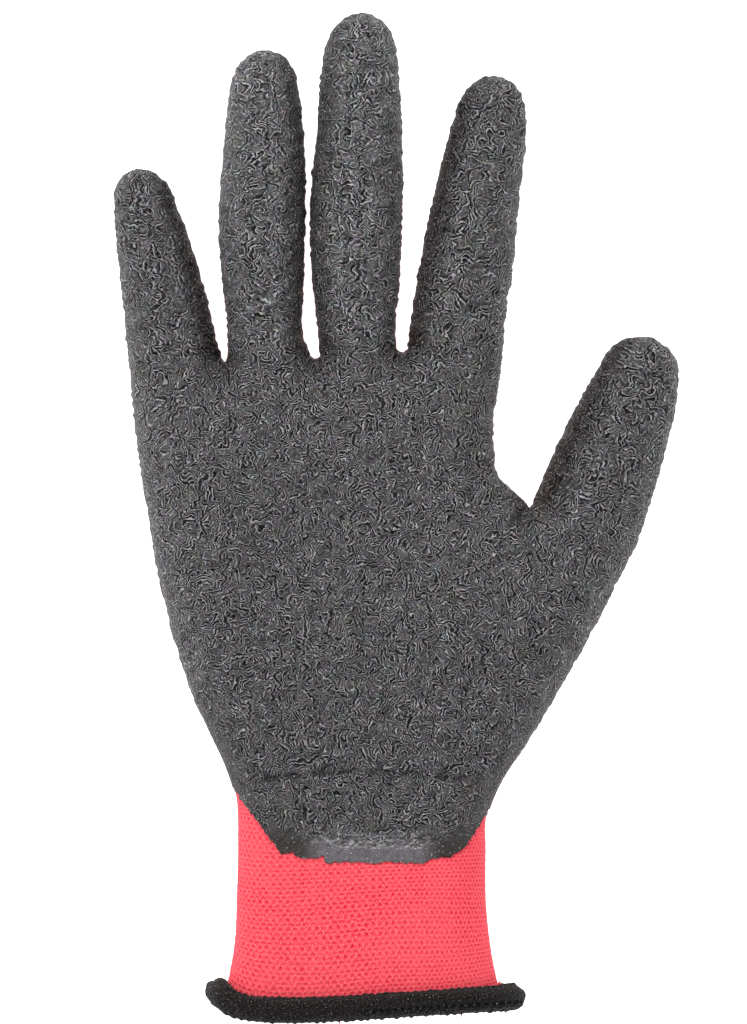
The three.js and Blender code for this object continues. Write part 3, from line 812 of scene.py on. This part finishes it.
def grey_ramp(value, stops):
    """A grey that follows the value through the stops."""
    ramp = node_after("ValToRGB", {0: value})
    elements = ramp.color_ramp.elements
    elements[0].position, elements[1].position = stops[0][0], stops[-1][0]
    elements[0].color, elements[1].color = ((grey, grey, grey, 1) for grey in (stops[0][1], stops[-1][1]))
    for position, grey in stops[1:-1]:
        elements.new(position).color = (grey, grey, grey, 1)
    return ramp.outputs[0]


# A crinkle is a thin cut with a ridge beside it, the cut painted dark as shade and the ridge painted
# light as a highlight. Crinkles zigzag side by side in patches, each patch turned its own way, with
# smoother ground between them.
CRINKLE = 1.18  # mm between two crinkles on the palm
ON_DIGITS = 0.8  # how much closer together they are there than on the digits
BROKEN_UP = 0.7  # how unevenly the patches change over from the palm's crinkles to the digits'
ALONG_BAND = 1.3  # radians between their furthest turns in a digit's band, where they run along it
PATCH = 4
BENDS = (0.3, 2), (0.8, 1.1)  # they wander: lumps to a mm, and mm
ZIGZAG, ZIGZAGS = 7, (0.16, 0.36, 0)  # how far the zigzags swing, and how many come on a mm
STEP = 0.1  # mm over which a slope is taken
LEVEL = (0.04, 0.2)  # where the swing turns, and hardly slopes, no crinkle shows
GENTLEST, STEEPEST = 0.3, 3.0  # the slopes between which a crinkle keeps its width
PATCHES_APART = 50.0  # keeps the numbers of the crinkles in two patches apart
CUT, RIDGE = (-0.31, -0.2, 0.0, 0.06), (0.0, 0.06, 0.16, 0.22)  # where both lie, in crinkles
GROOVES = 6.4  # mm between two of the deeper grooves that run along the hand
GROOVES_SWAY, GROOVE_SWING, GROOVE_SWINGS = (0.12, 4), 6.0, (0.04, 0.42, 0)  # bends as above
GROOVE, RIM, RIM_SHARE = (0.16, 0.34), (0.3, 0.38, 0.48, 0.6), 0.8  # its side and rim, from its middle
BAND_GROOVE, BAND_WOBBLE = 0.75, 0.9  # where in a finger's band its own two grooves run, and how unevenly
BAND_WOBBLES, BAND_SIDE, BAND_SHARES = (0.3, 0.55, 0), (0.02, 0.07), (0.75, 0.9)  # lumps, side and depth
LUMPS, GRAIN = 0.28, 1.7  # lumps to a mm of the ground's soft and fine unevenness
# Ranges of a noise, and what the crinkles' strength becomes in them: in faint patches, on the highest
# ground, and from one crinkle to the next.
FAINT, FAINT_PATCHES = (0.25, 0.5, 0.7, 1.0), 0.5
BALD, OWN_STRENGTH = (0.6, 0.7, 1.0, 0.3), (0.1, 0.6, 0.5, 1.2)
DEEP, DEEP_PATCHES = (0.35, 0.5), 0.1  # where the deeper grooves show
CREASED, CREASE_BREAKS = (0.1, 0.7), 0.3  # how deep the heel's crease is, and how often it breaks off
GROUND_GREYS = [(0.3, 0.031), (0.5, 0.043), (0.62, 0.062), (0.75, 0.13)]
CUT_SHADE_BLACK, RIDGE_HIGHLIGHT_GREY, GROOVE_SHADE_BLACK = (0.001,) * 3 + (1,), (0.245, 0.245, 0.25, 1), (0.006,) * 3 + (1,)
TINT, TINTED, TINT_PATCHES = (1.29, 1.25, 1.275, 1), 0.35, 0.35  # a faint play of colours
PATCHY = (0.86, 1.2)  # how dark and how light the ground's patches are
DIMMED = (0.75, 0.8, 0.81)  # how much the shade takes of red, green and blue
EDGE_AND_SHEEN_GREYS = (0.024, 0.0175, 0.016, 1), (0.135, 0.126, 0.139, 1)  # the smooth edge's own grey, and its painted sheen
STREAK_GREY, BRIM_HIGHLIGHT_GREY, GLINT_GREY = (0.04, 0.038, 0.038, 1), (0.31, 0.3, 0.32, 1), (0.5, 0.5, 0.52, 1)
EDGE_SHARE = 0.9  # how much of its own grey the smooth edge has
EDGE_STREAKS, BRIM_DASHES = (0.7, 0.12, 0), (0.9, 2.4, 0)  # lumps to a mm, along x and y
STREAKY, GRAINY = (0.0, 0.45), (0.4, 0.65, 0.0, 0.5)  # how much its streaks and its grain show
GLINTS, GLINT_LUMPS = (0.78, 0.88, 0.0, 0.7), 2.2
DULL, RIDGE_DULL, EDGE_DULL = 0.65, 0.4, 0.4  # roughness of the ground, of a ridge and of the smooth edge
HEIGHTS = {"crinkles": 0.55, "cut": -0.8, "lumps": 2.0, "grain": 0.5, "groove": -1.2}
RUBBER_BUMP = 0.45


def over_crinkles(place):
    """How far a place is along the way across the zigzags."""
    return plus(x_of(place), long_noise(place, ZIGZAGS), ZIGZAG)


def slope(place, here, step):
    """How much over_crinkles changes on that step, for each mm of it."""
    there = over_crinkles(on_vector("ADD", place, step))
    return times(calculate("SUBTRACT", there, here), 1 / STEP)


def plateau(value, rise, top, edge, end):
    """One between top and edge, and nothing before rise and past end."""
    return times(spread(value, rise, top), spread(value, edge, end, 1.0, 0.0))


rubber_material, tree, shader = new_material("crinkled_rubber", {"Specular IOR Level": 0.14})
place = add_node(tree, "TexCoord").outputs["UV"]
bent = wander(wander(place, *BENDS[0]), *BENDS[1])
cells = node_after("TexVoronoi", {"Vector": bent, "Scale": 1 / PATCH}, voronoi_dimensions="2D")
chances = node_after("SeparateColor", {0: cells.outputs["Color"]})
chance = chances.outputs[0]
switch = plus(0.5 - BROKEN_UP / 2, chances.outputs[1], BROKEN_UP)
in_band = calculate("GREATER_THAN", attribute(tree, "band"), switch)
freedom = plus(2 * math.pi, in_band, ALONG_BAND - 2 * math.pi)
way = times(calculate("SUBTRACT", chance, 0.5), freedom)
turned = node_after("VectorRotate", {"Vector": bent, "Angle": way}, rotation_type="Z_AXIS")
turned = turned.outputs[0]
over = over_crinkles(turned)
slope_x, slope_y = (slope(turned, over, step) for step in ((STEP, 0, 0), (0, STEP, 0)))
steep = calculate("SQRT", plus(times(slope_y, slope_y), slope_x, slope_x))
level = spread(steep, *LEVEL)
steep = calculate("MINIMUM", calculate("MAXIMUM", steep, GENTLEST), STEEPEST)
on_digit = calculate("GREATER_THAN", attribute(tree, "grown"), switch)
pitch = plus(CRINKLE, on_digit, CRINKLE / ON_DIGITS - CRINKLE)
crinkles_over = calculate("DIVIDE", over, pitch)
beat = calculate("SUBTRACT", calculate("FRACT", crinkles_over), 0.5)
away = calculate("DIVIDE", beat, steep)

lumps = noise(place, LUMPS, FINE)
grain = noise(place, GRAIN, FINE)
calm_here = attribute(tree, "calm")
strength = spread(noise(place, FAINT_PATCHES, SOFT), *FAINT)
strength = times(strength, times(attribute(tree, "lively"), spread(lumps, *BALD)))
strength = times(strength, calculate("SUBTRACT", 1.0, calm_here))
strength = times(strength, level)
crinkle_number = plus(calculate("FLOOR", crinkles_over), chance, PATCHES_APART)
own = node_after("TexWhiteNoise", {"W": crinkle_number}, noise_dimensions="1D")
own = times(spread(own.outputs["Value"], *OWN_STRENGTH), strength)
cut_here = times(plateau(away, *CUT), own)
ridge_here = times(plateau(away, *RIDGE), own)

long_way = wander(place, *GROOVES_SWAY)
long_x = plus(x_of(long_way), long_noise(long_way, GROOVE_SWINGS, SOFT), GROOVE_SWING)
from_groove = calculate("PINGPONG", long_x, GROOVES / 2)
deep = times(strength, spread(noise(place, DEEP_PATCHES), *DEEP))
groove = times(spread(from_groove, *GROOVE, 1.0, 0.0), deep)
rim = times(plateau(from_groove, *RIM), deep)
ridge_here = calculate("MAXIMUM", ridge_here, times(rim, RIM_SHARE))
in_digit_band = plus(attribute(tree, "band"), long_noise(place, BAND_WOBBLES, SOFT), BAND_WOBBLE)
from_band_groove = calculate("SUBTRACT", in_digit_band, BAND_GROOVE + BAND_WOBBLE / 2)
from_band_groove = calculate("ABSOLUTE", from_band_groove)
band_groove = spread(from_band_groove, *BAND_SIDE, BAND_SHARES[0], 0.0)
band_groove = times(band_groove, times(strength, BAND_SHARES[1]))
groove = calculate("MAXIMUM", groove, band_groove)
creased = spread(noise(place, CREASE_BREAKS, SOFT), *NARROW, *CREASED)
groove = calculate("MAXIMUM", groove, times(attribute(tree, "crease"), creased))

colour = grey_ramp(grain, GROUND_GREYS)
# Painted shade in the cuts, the grooves and the heel's crease, and painted highlights on the ridges and
# the grooves' rims.
for share, grey in ((cut_here, CUT_SHADE_BLACK), (ridge_here, RIDGE_HIGHLIGHT_GREY), (groove, GROOVE_SHADE_BLACK)):
    colour = blended(share, colour, grey)
tint = blended(TINTED, TINT, noise(place, TINT_PATCHES, FINE, "Color"))
colour = blended(1.0, colour, tint, blend_type="MULTIPLY")
patches_and_shade = spread(lumps, *MIDDLE, *PATCHY)
shade = attribute(tree, "shade")
# The ground's patches, darkened and browned a little by the painted shade.
channels = [times(patches_and_shade, plus(1.0, shade, -share)) for share in DIMMED]
patches_and_shade = node_after("CombineColor", dict(enumerate(channels))).outputs[0]
colour = blended(1.0, colour, patches_and_shade, blend_type="MULTIPLY")
streaky = spread(long_noise(place, EDGE_STREAKS, FINE), *MIDDLE, *STREAKY)
streaky = calculate("MAXIMUM", streaky, spread(grain, *GRAINY))
# The smooth edge: its own dark grey, with a painted sheen in the middle, and streaks.
edge_grey = blended(streaky, blended(attribute(tree, "painted_sheen"), *EDGE_AND_SHEEN_GREYS), STREAK_GREY)
colour = blended(times(calm_here, EDGE_SHARE), colour, edge_grey)
# Painted highlights along the fine wrinkles at the top of the smooth edge.
brim_highlight = times(spread(long_noise(place, BRIM_DASHES, SOFT), *NARROW), attribute(tree, "brim_highlight"))
colour = blended(brim_highlight, colour, BRIM_HIGHLIGHT_GREY)
glint = spread(noise(place, GLINT_LUMPS), *GLINTS)
colour = blended(glint, colour, GLINT_GREY)
dull = plus(DULL, ridge_here, RIDGE_DULL - DULL)
dull = node_after("Mix", {0: calm_here, 2: dull, 3: EDGE_DULL}).outputs[0]
tree.links.new(dull, shader.inputs["Roughness"])
crinkles = plus(ridge_here, cut_here, HEIGHTS["cut"])
height = plus(times(lumps, HEIGHTS["lumps"]), crinkles, HEIGHTS["crinkles"])
height = plus(height, grain, HEIGHTS["grain"])
finish(shader, colour, plus(height, groove, HEIGHTS["groove"]), RUBBER_BUMP)

coating = add_piece(
    "crinkled_coating",
    np.vstack([dipped.points, dipped.known["skin"][lip]]),
    np.vstack([dipped.triangles, split_quads(lip_quads)]),
    np.column_stack([dipped.known["wrapped"], dipped.known["course"]])[with_lip],
    rubber_material,
    **{name: dipped.known[name][with_lip] for name in looks},
)
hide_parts("palm_coating")

# The hem: the mouth's edge is rolled over and wrapped with thick black overlock yarn, whose loops lock
# each other in a row along the lower side and bite into the knit along the upper one.
HEM_RADIUS = 3.2
HEM_BITE = 0.75  # how far the roll sinks into the knit's leaning sides
HEM_SMOOTHINGS = 8
HEM_STEP, HEM_AROUND = 0.3, 60  # mm between two rings of points, and how many are in each
HEM_AHEAD = 4  # its direction is taken over so many rings
HEM_OFF_TABLE = 0.02
HEM_FUZZ, HEM_LUMPS = (0.035, 1.3, 41), (0.1, 4, 42)  # height, length and seed
WRAP, WRAP_LEAN, WRAP_HEIGHT = 1.8, 0.8, 0.02  # mm between two wraps, and how they lean and rise
# Lines round the roll, each at its own angle from the roll's outer side, and with its width.
UPPER, UPPER_RISE = (np.pi / 2, 0.5), 0.14  # the wraps rise more along here
LOWER, LOWER_RISE = (-np.pi / 2, 0.6), 0.15  # and here
FURROW, FURROW_DEPTH = (1.15, 0.16), 0.25  # the yarn bites into the knit along its upper side
LOCKS, LOCK_DEPTH, LOCK_OPEN = (-0.35, 0.13), 0.6, 0.35  # the gaps between the locked loops
LIP, LIP_HEIGHT = (-0.7, 0.2), 0.12  # the loops stand up beside them
LOCK_FROM, LOCK_FADE = -14, 8  # and gaps and lip show from here to the thumb's side

out = unit(mouth_out * (1, 0, 1))
standoff = HEM_RADIUS - HEM_BITE * abs(out[:, :1])
centre = mouth_rim + (out * standoff + (0, HEM_RADIUS, 0)) * MM
for _ in range(HEM_SMOOTHINGS):
    centre = (np.roll(centre, 1, axis=0) + 2 * centre + np.roll(centre, -1, axis=0)) / 4


def travelled(points):
    """How many mm along their line the points are."""
    return np.concatenate([[0], np.cumsum(np.linalg.norm(np.diff(points, axis=0), axis=1))]) / MM


closed = np.vstack([centre, centre[:1]])
travel = travelled(closed)
stations = round(travel[-1] / HEM_STEP)
at = np.arange(stations) * travel[-1] / stations
centre = np.column_stack([np.interp(at, travel, closed[:, i]) for i in range(3)])
forward = unit(np.roll(centre, -HEM_AHEAD, axis=0) - np.roll(centre, HEM_AHEAD, axis=0))
up = unit(np.array([0, 1, 0]) - forward * forward[:, 1:2])
away = np.cross(up, forward)
if (away * (centre - centre.mean(0))).sum() < 0:
    away = -away
turn = np.arange(HEM_AROUND) * 2 * np.pi / HEM_AROUND
s, angle = np.meshgrid(at, turn, indexing="ij")
wraps = np.cos(2 * np.pi * round(travel[-1] / WRAP) * s / travel[-1] + WRAP_LEAN * np.sin(angle))


def ridge_at(place, width):
    """1 along a line round the roll at that angle, fading to both sides."""
    gap_to_line = (angle - place + np.pi) % (2 * np.pi) - np.pi
    return np.exp(-((gap_to_line / width) ** 2))


on_right = ease((centre[:, :1] / MM - LOCK_FROM) / LOCK_FADE)
locks = ridge_at(*LOCKS) * np.clip(LOCK_OPEN + wraps, 0, 1) * on_right
wrap_height = WRAP_HEIGHT + UPPER_RISE * ridge_at(*UPPER) + LOWER_RISE * ridge_at(*LOWER)
radius = (
    HEM_RADIUS
    + wraps * wrap_height
    - FURROW_DEPTH * ridge_at(*FURROW)
    - LOCK_DEPTH * locks
    + LIP_HEIGHT * on_right * ridge_at(*LIP)
    + ripple(s, angle * HEM_RADIUS, *HEM_FUZZ)
    + ripple(s, angle * HEM_RADIUS, *HEM_LUMPS)
)
spokes = away[:, None] * np.cos(angle)[..., None] + up[:, None] * np.sin(angle)[..., None]
ring = centre[:, None] + spokes * radius[..., None] * MM
ring[..., 2] = np.maximum(ring[..., 2], HEM_OFF_TABLE * MM)
roll_points = ring.reshape(-1, 3)
roll_quads = between_loops(stations + 1, HEM_AROUND) % len(roll_points)
roll_triangles = split_quads(roll_quads[:, [0, 3, 2, 1]])
from_centre = roll_points - np.repeat(centre, HEM_AROUND, axis=0)
if (outward(roll_points, roll_triangles) * from_centre).sum() < 0:
    roll_triangles = roll_triangles[:, ::-1]

# The yarn also wraps the knit's cut edge, and reaches a little way into the mouth.
EDGE_WRAP = (  # how far out and up each of its loops is from the knit's edge
    (1.2, 1.2), (0.5, 0.2), (-0.1, -0.1), (-1.0, -0.15), (-1.7, 0.1), (-1.9, 0.6), (-1.9, 3.5))
EDGE_WRAP_STEP = 1.3
edge_points = np.vstack([
    mouth_rim + (mouth_out * outwards + (0, upwards, 0)) * MM for outwards, upwards in EDGE_WRAP])
edge_triangles = split_quads(between_loops(len(EDGE_WRAP), len(mouth))[:, ::-1])
edge_uv = np.column_stack([
    np.tile(travelled(mouth_rim), len(EDGE_WRAP)),
    np.repeat(EDGE_WRAP_STEP * np.arange(len(EDGE_WRAP)), len(mouth)),
])

OVERLOCK_BLACKS = (0.004, 0.0035, 0.0032, 1), (0.020, 0.0175, 0.0165, 1)  # between the fibres, and on them
FIBRE_GLINT_GREY, LOCK_SHADE_BLACK = (0.3, 0.29, 0.29, 1), (0.001, 0.001, 0.001, 1)
HEM_FIBRES, HEM_BUMP = 2.4, 0.4
LIGHT_FIBRES, FIBRE_GLINTS = (0.45, 0.6), (0.69, 0.8)  # the ranges of the fuzz that are lighter, and that get painted glints
overlock_material, tree, shader = new_material("black_overlock_yarn", {
    "Roughness": 0.85, "Specular IOR Level": 0.05, "Sheen Weight": 0.05})
fibre = noise(add_node(tree, "TexCoord").outputs["UV"], HEM_FIBRES, FINE)
colour = blended(spread(fibre, *LIGHT_FIBRES), *OVERLOCK_BLACKS)
# Painted glints on the yarn's fuzz.
colour = blended(spread(fibre, *FIBRE_GLINTS), colour, FIBRE_GLINT_GREY)
# Painted shade in the gaps between the locked loops.
colour = blended(attribute(tree, "lock"), colour, LOCK_SHADE_BLACK)
finish(shader, colour, fibre, HEM_BUMP)

hem_parts = [
    (roll_points, roll_triangles, np.column_stack([s.ravel(), (angle * HEM_RADIUS).ravel()])),
    (edge_points, edge_triangles, edge_uv),
]
hem_locks = np.concatenate([locks.ravel(), np.zeros(len(edge_points))])
hem = add_piece("overlocked_roll", *joined(hem_parts), overlock_material, lock=hem_locks)
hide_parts("overlock_hem")

# Loose ends of the knit's yarn: a small tuft where the run of stitches ends on the thumb's side, and some
# short fuzz that the roll didn't catch along its lower side.
TUFT_Y = -115.6
TUFT_WAYS = ((0.35, 1.0, 0.3, 1.5), (0.9, 0.75, 0.1, 1.3), (0.75, 0.1, 0.6, 1.0))  # way and length
FUZZ_WAY, FUZZ_PLACES = (0.3, -1, 0.1), ((-13.7, 0.9), (15.9, 1.1), (17.0, 0.6), (26.6, 0.7))  # x, length
END_RADIUS, END_TAPER = 0.17, 1.02  # the taper ends just over 1, which keeps the tip open
END_BEND, END_SQUARE_TO = 0.25, (0.3, 0.2, 1)  # how far it bends, and square to which direction
END_LOOPS, END_SIDES = 6, 6
NEAR = 0.4  # how near to its named place an end starts


def yarn_end(start, way, length):
    """The points, triangles and uv of one loose end, which bends and thins out as it goes."""
    way = unit(np.array(way))
    beside = unit(np.cross(way, END_SQUARE_TO))
    over = np.cross(way, beside)
    shares = np.linspace(0, 1, END_LOOPS)
    spine = start + (way * shares[:, None] + beside * END_BEND * shares[:, None] ** 2) * length * MM
    turn = np.arange(END_SIDES) * 2 * np.pi / END_SIDES
    ring = beside * np.cos(turn)[:, None] + over * np.sin(turn)[:, None]
    radius = END_RADIUS * MM * np.sqrt(END_TAPER - shares)
    points = (spine[:, None] + ring * radius[:, None, None]).reshape(-1, 3)
    return points, split_quads(between_loops(END_LOOPS, END_SIDES)), points[:, :2] / MM


beside_tuft = knit.points[abs(knit.points[:, 1] - TUFT_Y * MM) < NEAR * MM]
tuft = beside_tuft[np.argmax(beside_tuft[:, 0])]
ends = [yarn_end(tuft, way, length) for *way, length in TUFT_WAYS]
for x, length in FUZZ_PLACES:
    below = roll_points[abs(roll_points[:, 0] - x * MM) < NEAR * MM]
    ends.append(yarn_end(below[np.argmin(below[:, 1])], FUZZ_WAY, length))
loose_ends = add_piece("loose_yarn_ends", *joined(ends), knit_material)
